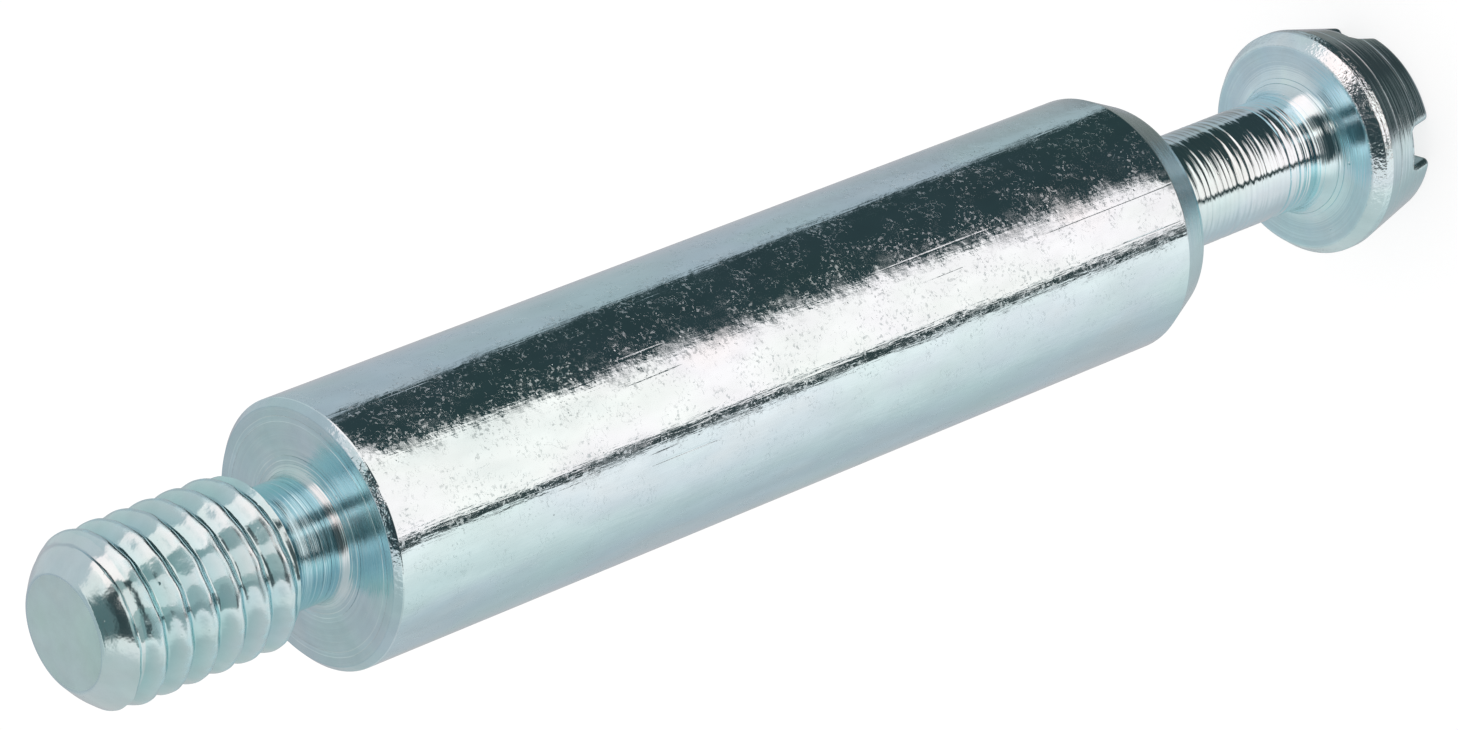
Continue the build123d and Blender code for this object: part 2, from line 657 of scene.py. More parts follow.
class Nodes:
    """Adds nodes to one tree, so that a shader reads as the sums that it makes."""

    def __init__(self, tree: bpy.types.NodeTree) -> None:
        """Keeps the tree that the nodes go into."""
        self.tree = tree

    def add(self, kind: str, inputs: dict | None = None, **settings: object) -> bpy.types.Node:
        """Adds one node.

        Args:
            kind: Blender's name of the node's type.
            inputs: a value or an output for each input that isn't left alone.
            **settings: the node's own settings.

        Returns:
            The node.
        """
        node = self.tree.nodes.new(kind)
        for name, value in settings.items():
            setattr(node, name, value)
        for name, value in (inputs or {}).items():
            self.plug(node.inputs[name], value)
        return node

    def plug(self, socket: Socket, value: object) -> None:
        """Joins an output to an input, or sets the input to a number or a colour.

        Args:
            socket: the input.
            value: an output, a number or a colour.
        """
        if isinstance(value, Socket):
            self.tree.links.new(value, socket)
        elif isinstance(value, tuple) and socket.type == "RGBA" and len(value) == 3:
            socket.default_value = (*value, 1.0)
        else:
            socket.default_value = value

    def chain(self, kind: str, operation: str, values: tuple) -> Socket:
        """Adds a node that reckons with its inputs in their order.

        Args:
            kind: Blender's name of the node's type.
            operation: what it does.
            values: a value or an output for each input.

        Returns:
            Its first output.
        """
        node = self.add(kind, operation=operation)
        for socket, value in zip(node.inputs, values):
            self.plug(socket, value)
        return node.outputs[0]

    def sum(self, operation: str, *values: object) -> Socket:
        """A Math node's output for up to three numbers or outputs."""
        return self.chain("ShaderNodeMath", operation, values)

    def vector(self, operation: str, *values: object) -> Socket:
        """A Vector Math node's vector output."""
        return self.chain("ShaderNodeVectorMath", operation, values)

    def place(self) -> Socket:
        """Where a point is on the object, in metres."""
        return self.add("ShaderNodeTexCoord").outputs["Object"]

    def stretch(self, place: object, squeeze: float) -> Socket:
        """A place squeezed along the bolt's axis, so that a pattern on it is drawn out."""
        return self.vector("MULTIPLY", place, (1.0, 1.0, squeeze))

    def attribute(self, name: str) -> Socket:
        """A number that the mesh keeps at each point."""
        return self.add("ShaderNodeAttribute", attribute_name=name).outputs["Fac"]

    def ease(self, value: object, low: object, high: object) -> Socket:
        """Rises smoothly from 0 at low to 1 at high.

        Args:
            value: what is mapped.
            low: where the result is 0.
            high: where it is 1, which may be under low.

        Returns:
            A number from 0 to 1.
        """
        inputs = {"Value": value, "From Min": low, "From Max": high}
        return self.add("ShaderNodeMapRange", inputs, interpolation_type="SMOOTHSTEP").outputs["Result"]

    def fit(self, value: object, source: Span, target: Span) -> Socket:
        """Maps one span to another in a straight line, and holds the ends.

        Args:
            value: what is mapped.
            source: the span that it comes from.
            target: the span that it goes to.

        Returns:
            A number in the target span.
        """
        names = ("Value", "From Min", "From Max", "To Min", "To Max")
        inputs = dict(zip(names, (value, *source, *target)))
        return self.add("ShaderNodeMapRange", inputs, clamp=True).outputs["Result"]

    def mix(self, factor: object, first: object, second: object, blend: str = "MIX") -> Socket:
        """Mixes two colours.

        Args:
            factor: share of the second colour.
            first: a colour.
            second: another colour.
            blend: Blender's name of the way they mix.

        Returns:
            The mixed colour.
        """
        node = self.add("ShaderNodeMix", {"Factor": factor}, data_type="RGBA", blend_type=blend)
        for name, value in (("A", first), ("B", second)):
            self.plug(next(s for s in node.inputs if s.name == name and s.type == "RGBA"), value)
        return next(s for s in node.outputs if s.type == "RGBA")

    def shade(self, colour: object, by: object) -> Socket:
        """A colour times another."""
        return self.mix(1.0, colour, by, "MULTIPLY")

    def ramp(self, value: object, stops: list[tuple[float, Colour]]) -> Socket:
        """A colour for each value, in straight lines between the stops.

        Args:
            value: a number from 0 to 1.
            stops: place and colour of each stop, in rising order.

        Returns:
            The colour.
        """
        node = self.add("ShaderNodeValToRGB", {"Fac": value})
        band = node.color_ramp.elements
        while len(band) < len(stops):
            band.new(1.0)
        for stop, (place, colour) in zip(band, stops):
            stop.position, stop.color = place, (*colour, 1.0)
        return node.outputs["Color"]

    def noise(self, place: object, scale: object, detail: float = 2.0, rough: float = 0.5) -> Socket:
        """Soft noise in space, between 0 and 1."""
        inputs = {"Vector": place, "Scale": scale, "Detail": detail, "Roughness": rough}
        return self.add("ShaderNodeTexNoise", inputs).outputs["Fac"]

    def stripes(self, way: object, scale: float, detail: float, rough: float = 0.5) -> Socket:
        """Noise along one line, between 0 and 1."""
        inputs = {"W": way, "Scale": scale, "Detail": detail, "Roughness": rough}
        return self.add("ShaderNodeTexNoise", inputs, noise_dimensions="1D").outputs["Fac"]

    def spots(self, place: object, per_metre: object, channel: int, largest: float) -> tuple[Socket, Socket]:
        """Round spots in space, one in each cell and each of its own size.

        Args:
            place: where the point is.
            per_metre: cells per metre.
            channel: which of a cell's three random numbers gives the size.
            largest: reach of the largest spot, as a share of a cell.

        Returns:
            The distance from the nearest spot's middle, and that spot's reach.
        """
        cells = self.add("ShaderNodeTexVoronoi", {"Vector": place, "Scale": per_metre}).outputs
        chance = self.add("ShaderNodeSeparateColor", {"Color": cells["Color"]}).outputs[channel]
        return cells["Distance"], self.sum("MULTIPLY", chance, largest)


Ends = tuple[bpy.types.NodeTree, Nodes, bpy.types.bpy_prop_collection, bpy.types.bpy_prop_collection]


def new_group(name: str, inputs: dict[str, float], outputs: dict[str, str]) -> Ends:
    """Starts a shader node group.

    Args:
        name: the group's name.
        inputs: number inputs and their usual values.
        outputs: output names and whether each is a Float or a Color.

    Returns:
        The group, its nodes, what comes in and what goes out.
    """
    tree = bpy.data.node_groups.new(name, "ShaderNodeTree")
    for key, value in inputs.items():
        tree.interface.new_socket(key, in_out="INPUT", socket_type="NodeSocketFloat").default_value = value
    for key, kind in outputs.items():
        tree.interface.new_socket(key, in_out="OUTPUT", socket_type=f"NodeSocket{kind}")
    n = Nodes(tree)
    return tree, n, n.add("NodeGroupInput").outputs, n.add("NodeGroupOutput").inputs


def new_material(name: str) -> tuple[bpy.types.Material, Nodes, Socket]:
    """Starts a material with nothing in it but its output.

    Args:
        name: the material's name.

    Returns:
        The material, its nodes and the input for its surface.
    """
    material = bpy.data.materials.new(name)
    material.use_nodes = True
    n = Nodes(material.node_tree)
    n.tree.nodes.clear()
    return material, n, n.add("ShaderNodeOutputMaterial").inputs["Surface"]


def new_sheet(name: str, corners: list[tuple], material: bpy.types.Material) -> bpy.types.Object:
    """Makes one flat sheet with four corners.

    Args:
        name: the sheet's name.
        corners: its corners in metres, in order round it.
        material: its material.

    Returns:
        The sheet.
    """
    mesh = bpy.data.meshes.new(name)
    mesh.from_pydata(corners, [], [(0, 1, 2, 3)])
    mesh.materials.append(material)
    return link_object(name, mesh)


# Where most values of a soft noise lie
NOISE_SPAN: Span = (0.3, 0.7)


def lathe_rings_group() -> bpy.types.NodeTree:
    """Rings that a turning tool leaves, as a height.

    Fine and coarse noise along the outline add up, and a few deep grooves are taken from them. The rings sway
    a little round the part.

    Returns:
        The group.
    """
    sway_per_metre, sway_mm, fine_heights = 700.0, 0.06, (0.6, 1.2)
    coarse_per_ring, grooves_per_ring, groove_edge = 0.23, 0.4, (0.66, 0.74)
    sizes = {"Pitch mm": 0.1, "Coarse": 0.5, "Grooves": 0.0}
    tree, n, start, end = new_group("lathe_rings", sizes, {"Height": "Float"})
    sway = n.noise(n.place(), sway_per_metre, 1.0)
    way = n.sum("DIVIDE", n.sum("MULTIPLY_ADD", sway, sway_mm, n.attribute("along_mm")), start["Pitch mm"])
    fine = n.sum("MULTIPLY", n.stripes(way, 1.0, 3.0, 0.6), n.fit(sway, NOISE_SPAN, fine_heights))
    grooves = n.ease(n.stripes(way, grooves_per_ring, 0.0), *groove_edge)
    height = n.sum("MULTIPLY_ADD", n.stripes(way, coarse_per_ring, 1.0), start["Coarse"], fine)
    n.plug(end["Height"], n.sum("SUBTRACT", height, n.sum("MULTIPLY", grooves, start["Grooves"])))
    return tree


def handling_group() -> bpy.types.NodeTree:
    """Small dents and a soft cloudiness that a plated face keeps from handling.

    Returns:
        The group.
    """
    largest, crowd_per_metre, crowd_edge = 0.2, 700.0, (0.45, 0.62)
    cloud_per_metre, cloud_edge = 480.0, (0.35, 0.68)
    outputs = {"Height": "Float", "Cloud": "Float"}
    tree, n, start, end = new_group("handling_marks", {"Cells per m": 2600.0}, outputs)
    place = n.place()
    distance, reach = n.spots(place, start["Cells per m"], 0, largest)
    crowd = n.ease(n.noise(place, crowd_per_metre, 2.0), *crowd_edge)
    dents = n.sum("MULTIPLY", n.ease(distance, reach, 0.0), crowd)
    n.plug(end["Height"], n.sum("MULTIPLY", dents, -1.0))
    n.plug(end["Cloud"], n.ease(n.noise(place, cloud_per_metre, 4.0, 0.6), *cloud_edge))
    return tree


@dataclass(frozen=True)
class Relief:
    """Noise that stands up from the drawn bar.

    Args:
        name: name of the input for its height.
        height: its usual height in micrometres.
        squeeze: how much it is squeezed along the axis, where less than 1 draws it out.
        per_metre: scale of the noise.
        detail: detail of the noise.
        rough: strength of that detail.
    """

    name: str
    height: float
    squeeze: float
    per_metre: float
    detail: float
    rough: float = 0.5


RELIEFS: list[Relief] = [
    Relief("Waves", 28.0, 0.35, 650.0, 2.0),
    Relief("Dents", 5.0, 1.0, 2300.0, 1.0),
    Relief("Hairs", 4.0, 0.05, 8000.0, 2.0, 0.6),
    Relief("Grain", 3.6, 0.6, 6500.0, 3.0, 0.65),
]

# Cells per metre of the coarse and the fine pits, and how crowded a place has to be for them
PITS: list[tuple[float, float, float]] = [(4200.0, 0.40, 0.62), (8200.0, 0.36, 0.66)]


def drawn_marks_group() -> bpy.types.NodeTree:
    """Marks of drawing, plating and handling on the bright bar.

    The reliefs add up, and pits and scratches are taken from them. Pits crowd in patches, and so does the
    frost, which is fine specks with a soft haze. A scratch is a long thin line that shows over a short span.

    Returns:
        The group, which gives a height in micrometres, the frost and the stains.
    """
    crowd_per_metre, largest_pit, pit_floor, fine_pits = 1300.0, 0.24, 0.02, 0.5
    speck_per_metre, speck_edge, speck_crowd = 7800.0, (0.56, 0.68), (0.38, 0.60)
    haze_per_metre, haze_edge, haze_share = 1700.0, (0.42, 0.68), 0.34
    haze_squeeze = 0.6
    stain_per_metre, largest_stain, stain_edge = 520.0, 0.034, 0.014
    line_squeeze, line_per_metre, line_edge = 0.012, 5200.0, (0.70, 0.80)
    span_squeeze, span_per_metre, span_edge = 0.5, 260.0, (0.56, 0.60)
    sizes = {relief.name: relief.height for relief in RELIEFS} | {"Pits": 3.6, "Scratches": 6.0}
    outputs = {"Height": "Float", "Frost": "Float", "Stain": "Float"}
    tree, n, start, end = new_group("drawn_bar_marks", sizes, outputs)
    place = n.place()
    height = 0.0
    for relief in RELIEFS:
        noise = n.noise(n.stretch(place, relief.squeeze), relief.per_metre, relief.detail, relief.rough)
        height = n.sum("MULTIPLY_ADD", noise, start[relief.name], height)
    crowd = n.noise(place, crowd_per_metre, 2.0)
    pits = []
    for per_metre, low, high in PITS:
        distance, reach = n.spots(place, per_metre, 0, largest_pit)
        pits.append(n.sum("MULTIPLY", n.ease(distance, reach, pit_floor), n.ease(crowd, low, high)))
    lines = n.ease(n.noise(n.stretch(place, line_squeeze), line_per_metre, 0.0), *line_edge)
    spans = n.ease(n.noise(n.stretch(place, span_squeeze), span_per_metre, 1.0), *span_edge)
    scratches = n.sum("MULTIPLY", lines, spans)
    both_pits = n.sum("MULTIPLY_ADD", pits[1], fine_pits, pits[0])
    for name, mark in (("Pits", both_pits), ("Scratches", scratches)):
        height = n.sum("SUBTRACT", height, n.sum("MULTIPLY", mark, start[name]))
    specks = n.ease(n.noise(place, speck_per_metre, 1.0), *speck_edge)
    haze = n.ease(n.noise(n.stretch(place, haze_squeeze), haze_per_metre, 4.0, 0.65), *haze_edge)
    frost = n.sum("MULTIPLY_ADD", haze, haze_share, n.sum("MULTIPLY", specks, n.ease(crowd, *speck_crowd)))
    distance, reach = n.spots(place, stain_per_metre, 1, largest_stain)
    n.plug(end["Height"], height)
    n.plug(end["Frost"], frost)
    n.plug(end["Stain"], n.ease(distance, reach, n.sum("SUBTRACT", reach, stain_edge)))
    return tree


# The plating's tints from the low to the high patches of a noise
TINTS: list[tuple[float, Colour]] = [
    (0.30, (0.555, 0.825, 0.865)),
    (0.43, (0.600, 0.855, 0.895)),
    (0.55, (0.612, 0.83, 0.915)),
    (0.70, (0.680, 0.855, 0.905)),
]


def plating_group() -> bpy.types.NodeTree:
    """The cool tints of bright zinc plating, in soft patches from green to blue under a fine cloudiness.

    Returns:
        The group.
    """
    squeeze, cloud_per_metre, cloud_shades = 0.4, 900.0, (0.94, 1.06)
    outputs = {"Color": "Color", "Patches": "Float"}
    tree, n, start, end = new_group("zinc_tint", {"Patch per m": 260.0}, outputs)
    place = n.stretch(n.place(), squeeze)
    patches = n.noise(place, start["Patch per m"], 3.0)
    cloud = n.fit(n.noise(place, cloud_per_metre, 3.0, 0.6), NOISE_SPAN, cloud_shades)
    grey = n.add("ShaderNodeCombineColor", {"Red": cloud, "Green": cloud, "Blue": cloud}).outputs[0]
    n.plug(end["Color"], n.shade(n.ramp(patches, TINTS), grey))
    n.plug(end["Patches"], patches)
    return tree


@dataclass(frozen=True)
class Groups:
    """The node groups that several finishes share."""

    rings: bpy.types.NodeTree
    handling: bpy.types.NodeTree
    drawn_marks: bpy.types.NodeTree
    plating: bpy.types.NodeTree

    @staticmethod
    def make() -> "Groups":
        """Builds each group once."""
        return Groups(lathe_rings_group(), handling_group(), drawn_marks_group(), plating_group())


# What the colour is mixed towards or multiplied by, where a mark shows, and how far; some are painted shade
# or highlight
# Painted shade on the turning marks where they stand higher
MARK_PAINTED_SHADE: Colour = (0.42, 0.52, 0.54)
MARK_PAINTED_SHADE_SHARE = 0.16
STAIN: Colour = (0.1, 0.13, 0.14)
STAIN_SHARE = 0.6
CLOUD: Colour = (0.68, 0.76, 0.80)
CLOUD_SHARE = 0.22
# Painted shade deeper in the thread's groove
GROOVE_PAINTED_SHADE: Colour = (0.72, 0.88, 0.89)
# The crests' colour: partly wear, partly a painted highlight
ABRADED_AND_HIGHLIT: Colour = (0.58, 0.90, 0.97)
# How much roughness frost and crest wear add, and the noise that breaks up the crests' wear and painted
# highlight
FROST_ROUGHNESS = 0.28
ABRADED_AND_HIGHLIT_ROUGHNESS = 0.26
ABRADED_AND_HIGHLIT_PER_METRE = 2600.0
ABRADED_AND_HIGHLIT_EDGE: Span = (0.4, 0.6)
ABRADED_AND_HIGHLIT_STRENGTHS: Span = (0.2, 1.0)
# Heights of the rings between which they roughen the surface and take on painted shade
RING_HEIGHTS: Span = (0.4, 1.0)
MICROMETRE = 1e-6
# Turn of the spread from along the marks to across them, as a share of a whole turn
QUARTER_TURN = 0.25


@dataclass(frozen=True)
class ZincFinish:
    """One finish of the zinc-plated steel.

    Args:
        name: the material's name.
        roughness: how rough the surface is between its marks.
        shade: what the plating's tint is multiplied by: painted light and shade that makes this region's copy
            of the zinc darker or paler.
        ring_pitch: spacing of the turning marks in millimetres.
        ring_depth: depth of the turning marks in micrometres, or 0 for none.
        mark_blur_and_painted_shade: how much rougher some turning marks are than others; if not 0, higher
            marks get painted shade.
        grooves: how deep a few of the turning marks are, against the others.
        spread: how much further the finest marks spread light across the turning marks than along them.
        drawn: how strong the marks of drawn bar are, where 1 is full strength.
        grain_depth: depth of the even grain in micrometres.
        grain_scale: grains per metre.
        mottle: how much the roughness varies in patches.
        abraded_and_highlit: whether crests are paler and rougher, partly as painted highlight, and grooves in
            painted shade.
        handled: depth of the dents of handling in micrometres.
    """

    name: str
    roughness: float
    shade: Colour = (1.0, 1.0, 1.0)
    ring_pitch: float = 0.0
    ring_depth: float = 0.0
    mark_blur_and_painted_shade: float = 0.0
    grooves: float = 0.0
    spread: float = 0.0
    drawn: float = 0.0
    grain_depth: float = 0.0
    grain_scale: float = 6000.0
    mottle: float = 0.03
    abraded_and_highlit: bool = False
    handled: float = 0.0

    def material(self, groups: Groups) -> bpy.types.Material:
        """Builds the material.

        Args:
            groups: the shared node groups.

        Returns:
            The material, a metal whose colour, roughness and normal vary over the surface.
        """
        material, n, surface = new_material(self.name)
        place = n.place()
        tint = n.add("ShaderNodeGroup", node_tree=groups.plating).outputs
        # Painted light and shade: the plating tint times this region's shade
        colour = n.shade(tint["Color"], self.shade)
        mottled = (self.roughness - self.mottle, self.roughness + self.mottle)
        rough = n.fit(tint["Patches"], NOISE_SPAN, mottled)
        normal = None
        if self.ring_depth:
            sizes = {"Pitch mm": self.ring_pitch, "Grooves": self.grooves}
            rings = n.add("ShaderNodeGroup", sizes, node_tree=groups.rings).outputs["Height"]
            normal = self.bump(n, rings, self.ring_depth, normal)
            if self.mark_blur_and_painted_shade:
                ring = n.fit(rings, RING_HEIGHTS, (0.0, 1.0))
                rough = n.sum("MULTIPLY_ADD", ring, self.mark_blur_and_painted_shade, rough)
                # Painted shade along the turning marks: darker where they stand higher
                colour = n.mix(n.sum("MULTIPLY", ring, MARK_PAINTED_SHADE_SHARE), colour, MARK_PAINTED_SHADE)
        if self.drawn:
            marks = n.add("ShaderNodeGroup", node_tree=groups.drawn_marks).outputs
            normal = self.bump(n, marks["Height"], self.drawn, normal)
            rough = n.sum("MULTIPLY_ADD", marks["Frost"], FROST_ROUGHNESS, rough)
            colour = n.mix(n.sum("MULTIPLY", marks["Stain"], STAIN_SHARE), colour, STAIN)
        if self.grain_depth:
            normal = self.bump(n, n.noise(place, self.grain_scale, 2.0, 0.6), self.grain_depth, normal)
        if self.handled:
            marks = n.add("ShaderNodeGroup", node_tree=groups.handling).outputs
            normal = self.bump(n, marks["Height"], self.handled, normal)
            colour = n.mix(n.sum("MULTIPLY", marks["Cloud"], CLOUD_SHARE), colour, CLOUD)
        if self.abraded_and_highlit:
            # Crests paler and rougher, partly wear and partly a painted highlight
            patchy = n.fit(n.noise(place, ABRADED_AND_HIGHLIT_PER_METRE), ABRADED_AND_HIGHLIT_EDGE, ABRADED_AND_HIGHLIT_STRENGTHS)
            abrasion_and_highlight = n.sum("MULTIPLY", n.attribute("abraded_and_highlit"), patchy)
            # Painted shade: the colour darker and more teal deeper in the thread's groove
            colour = n.mix(n.attribute("sunk"), colour, n.shade(colour, GROOVE_PAINTED_SHADE))
            colour = n.mix(abrasion_and_highlight, colour, ABRADED_AND_HIGHLIT)
            rough = n.sum("MULTIPLY_ADD", abrasion_and_highlight, ABRADED_AND_HIGHLIT_ROUGHNESS, rough)
        metal = n.add("ShaderNodeBsdfPrincipled", {"Base Color": colour, "Metallic": 1.0, "Roughness": rough})
        if normal is not None:
            n.plug(metal.inputs["Normal"], normal)
        if self.spread:
            round_axis = n.vector("NORMALIZE", n.vector("CROSS_PRODUCT", (0.0, 0.0, 1.0), place))
            n.plug(metal.inputs["Tangent"], round_axis)
            n.plug(metal.inputs["Anisotropic"], self.spread)
            n.plug(metal.inputs["Anisotropic Rotation"], QUARTER_TURN)
        n.plug(surface, metal.outputs["BSDF"])
        return material

    @staticmethod
    def bump(n: Nodes, height: object, depth: float, normal: object) -> Socket:
        """Turns a height into a normal.

        Args:
            n: the material's nodes.
            height: the height, where 1 stands for the whole depth.
            depth: the depth in micrometres.
            normal: the normal under it, or None.

        Returns:
            The new normal.
        """
        node = n.add("ShaderNodeBump", {"Height": height, "Strength": 1.0, "Distance": depth * MICROMETRE})
        if normal is not None:
            n.plug(node.inputs["Normal"], normal)
        return node.outputs["Normal"]


# Each shade is painted light and shade on the one zinc tint: darker or paler by region, as marked below
FINISHES: dict[Skin, ZincFinish] = {
    # Painted light: the tip warmer
    Skin.TIP: ZincFinish("zinc_tip", 0.42, (1.03, 1.01, 0.93), grain_depth=7.0, grain_scale=9000.0),
    # Painted shade: the thread a little darker
    Skin.THREAD: ZincFinish(
        "zinc_thread",
        0.15,
        (0.98, 0.98, 0.96),
        grain_depth=10.0,
        grain_scale=3000.0,
        abraded_and_highlit=True,
        handled=10.0,
    ),
    # Painted shade: the relief groove darker and more teal
    Skin.GROOVE: ZincFinish(
        "zinc_groove",
        0.08,
        (0.66, 0.85, 0.88),
        ring_pitch=0.12,
        ring_depth=21.0,
        grooves=2.0,
    ),
    # Painted shade: the shoulder a little darker
    Skin.SHOULDER: ZincFinish(
        "zinc_shoulder",
        0.08,
        (0.95, 0.96, 0.94),
        ring_pitch=0.13,
        ring_depth=26.0,
        mark_blur_and_painted_shade=0.12,
        grooves=0.8,
        spread=0.4,
        handled=12.0,
    ),
    # Painted shade: the edge darker
    Skin.EDGE: ZincFinish("zinc_edge", 0.12, (0.8, 0.84, 0.86), grain_depth=24.0, grain_scale=4500.0),
    Skin.BODY: ZincFinish("zinc_body", 0.06, drawn=1.0),
    Skin.NOSE: ZincFinish("zinc_nose", 0.2, ring_pitch=0.12, ring_depth=10.0),
    Skin.NECK: ZincFinish("zinc_neck", 0.08, ring_pitch=0.11, ring_depth=7.0, handled=12.0),
    # Painted light: the head's back paler
    Skin.HEAD_BACK: ZincFinish(
        "zinc_head_back",
        0.08,
        (1.05, 1.11, 1.12),
        ring_pitch=0.13,
        ring_depth=19.0,
        mark_blur_and_painted_shade=0.05,
        grooves=1.4,
        spread=0.1,
        handled=18.0,
    ),
    # Painted shade: the cone darker
    Skin.CONE: ZincFinish(
        "zinc_cone",
        0.08,
        (0.86, 0.87, 0.88),
        ring_pitch=0.12,
        ring_depth=13.0,
        grooves=5.0,
        spread=0.3,
    ),
    # Painted shade: the slots darker
    Skin.SLOT: ZincFinish("zinc_slot", 0.25, (0.92, 0.95, 0.96), grain_depth=10.0, grain_scale=3000.0),
    # Painted light: the rim paler
    Skin.RIM: ZincFinish(
        "zinc_rim",
        0.15,
        (1.1, 1.07, 1.06),
        ring_pitch=0.1,
        ring_depth=8.0,
        grain_depth=30.0,
        grain_scale=6000.0,
    ),
}

# Lifts between which a sheet's sides lean, and the lift at which they stand at their own turns, in degrees
LEAN_SPAN: Span = (-52.0, -16.0)
LEAN_LEVEL = -37.0


@dataclass(frozen=True)
class Sheet:
    """One card or gap of the light tent, in degrees of turn and lift.

    Args:
        name: what it is.
        start: turn at which it starts, at the level lift.
        stop: turn at which it ends there.
        low: lift at which it starts.
        high: lift at which it ends.
        colour: its light.
        soft: width of its sides' soft edges.
        soft_ends: width of its upper and lower soft edges.
        start_lean: degrees of turn that the start moves for each degree of lift.
        stop_lean: degrees of turn that the end moves for each degree of lift.
    """

    name: str
    start: float
    stop: float
    low: float
    high: float
    colour: Colour
    soft: float = 3.0
    soft_ends: float = 5.0
    start_lean: float = 0.0
    stop_lean: float = 0.0

    def side(self, n: Nodes, lift: object, turn: float, lean: float) -> object:
        """Turn of one side, which leans evenly with the lift.

        Args:
            n: the world's nodes.
            lift: lift of the direction.
            turn: turn of the side at the level lift.
            lean: degrees of turn for each degree of lift.

        Returns:
            A number, or an output where the side leans.
        """
        if not lean:
            return turn
        rise = n.sum("SUBTRACT", n.fit(lift, LEAN_SPAN, LEAN_SPAN), LEAN_LEVEL)
        return n.sum("MULTIPLY_ADD", rise, lean, turn)

    def cover(self, n: Nodes, turn: object, lift: object) -> Socket:
        """How much of the light from each direction comes from this sheet.

        Args:
            n: the world's nodes.
            turn: turn of the direction.
            lift: lift of the direction.

        Returns:
            A number from 0 to 1.
        """
        start = self.side(n, lift, self.start, self.start_lean)
        stop = self.side(n, lift, self.stop, self.stop_lean)
        half, half_ends = self.soft / 2, self.soft_ends / 2
        sides = n.sum(
            "MULTIPLY",
            n.ease(turn, n.sum("SUBTRACT", start, half), n.sum("ADD", start, half)),
            n.ease(turn, n.sum("ADD", stop, half), n.sum("SUBTRACT", stop, half)),
        )
        ends = n.sum(
            "MULTIPLY",
            n.ease(lift, self.low - half_ends, self.low + half_ends),
            n.ease(lift, self.high + half_ends, self.high - half_ends),
        )
        return n.sum("MULTIPLY", sides, ends)


WALLS: list[tuple[float, Colour]] = [
    (0, (0.53, 0.51, 0.525)),
    (58, (0.56, 0.55, 0.555)),
    (78, (0.66, 0.63, 0.625)),
    (98, (0.89, 0.79, 0.77)),
    (116, (1.02, 0.87, 0.84)),
    (138, (1.22, 1.01, 0.96)),
    (256, (1.08, 0.92, 0.88)),
    (262, (0.53, 0.51, 0.53)),
    (360, (0.53, 0.51, 0.53)),
]

WHITE: Colour = (1.52, 1.11, 1.035)
GLOOM: Colour = (0.036, 0.053, 0.055)
DUSK: Colour = (0.036, 0.052, 0.056)

SHEETS: list[Sheet] = [
    Sheet("lower white card", 151.5, 210.0, -90, -15, WHITE, 2.0, 6.0, 0.0, 2.9),
    Sheet("lower gap", 210.0, 278.4, -90, -18, GLOOM, 5.0, 4.0, 2.9, -1.79),
    Sheet("seam", 142.5, 150.7, -90, -15, (0.045, 0.055, 0.055), 2.0),
    Sheet("upper wall on the right", 262.0, 344.0, -12, 62, (0.70, 0.645, 0.64), 14.0, 14.0),
    Sheet("upper wall on the left", 18.0, 110.0, -24, 62, (0.675, 0.615, 0.605), 24.0, 14.0),
    Sheet("foot of the dim room", 132.0, 217.0, -15, 18, (0.10, 0.105, 0.105), 8.0, 8.0),
    Sheet("dim room behind the camera", 134.0, 217.0, 14, 62, DUSK, 8.0, 8.0),
    Sheet("gap beside the camera", 182.0, 193.0, -24, 16, WHITE, 3.0, 6.0),
    Sheet("upper white card", 218.0, 258.0, -22, 46, WHITE, 3.0, 5.0),
    Sheet("top of the upper card", 234.0, 257.0, 40, 58, (1.1, 0.9, 0.85), 6.0, 8.0),
    Sheet("dim roof", 106.0, 238.0, 58, 100, (0.13, 0.18, 0.185), 14.0, 10.0),
    Sheet("shade under the bench", 134.0, 301.0, -100, -51, (0.056, 0.066, 0.066), 16.0, 7.0),
    Sheet("half shade beside it", 298.0, 342.0, -100, -41.5, (0.26, 0.245, 0.23), 14.0, 10.0),
    Sheet("open end below", -10.0, 370.0, -100, -77, (0.29, 0.265, 0.26), 3.0, 8.0),
]


@dataclass(frozen=True)
class LightCard:
    """A card that hangs upright beside the bolt and that only mirrors see, in metres.

    Args:
        name: what it is.
        turn: turn of its middle, in degrees, as for the sheets.
        way: its distance from the bolt's axis.
        width: its width.
        foot: height of its lower edge.
        head: height of its upper edge.
        colour: its light.
    """

    name: str
    turn: float
    way: float
    width: float
    foot: float
    head: float
    colour: Colour

    def hang(self, far_bearing: float) -> None:
        """Hangs the card.

        Args:
            far_bearing: bearing of turn 0, in degrees.
        """
        angle = math.radians(self.turn + far_bearing)
        out = np.array([math.cos(angle), math.sin(angle), 0.0])
        side = np.array([-math.sin(angle), math.cos(angle), 0.0]) * self.width / 2
        foot, head = (self.way * out + np.array([0, 0, z]) for z in (self.foot, self.head))
        material, n, surface = new_material(self.name + "_light")
        n.plug(surface, n.add("ShaderNodeEmission", {"Color": self.colour, "Strength": 1.0}).outputs[0])
        corners = [tuple(p) for p in (foot - side, foot + side, head + side, head - side)]
        card = new_sheet(self.name, corners, material)
        card.visible_camera = False
        card.visible_diffuse = False
        card.visible_shadow = False


CARDS: list[LightCard] = [
    LightCard("narrow_card", 190.0, 0.04, 0.0085, -0.008, 0.046, WHITE),
    LightCard("near_white_card", 182.5, 0.007, 0.0033, 0.0047, 0.0125, (1.05, 0.88, 0.84)),
    LightCard("near_grey_card", 162.5, 0.007, 0.0016, 0.0047, 0.0125, (0.50, 0.53, 0.51)),
    LightCard("near_left_card", 148.5, 0.0072, 0.0018, 0.0055, 0.0122, (0.35, 0.39, 0.38)),
    LightCard("near_right_card", 204.5, 0.0072, 0.0022, 0.0055, 0.0122, (0.37, 0.41, 0.40)),
]


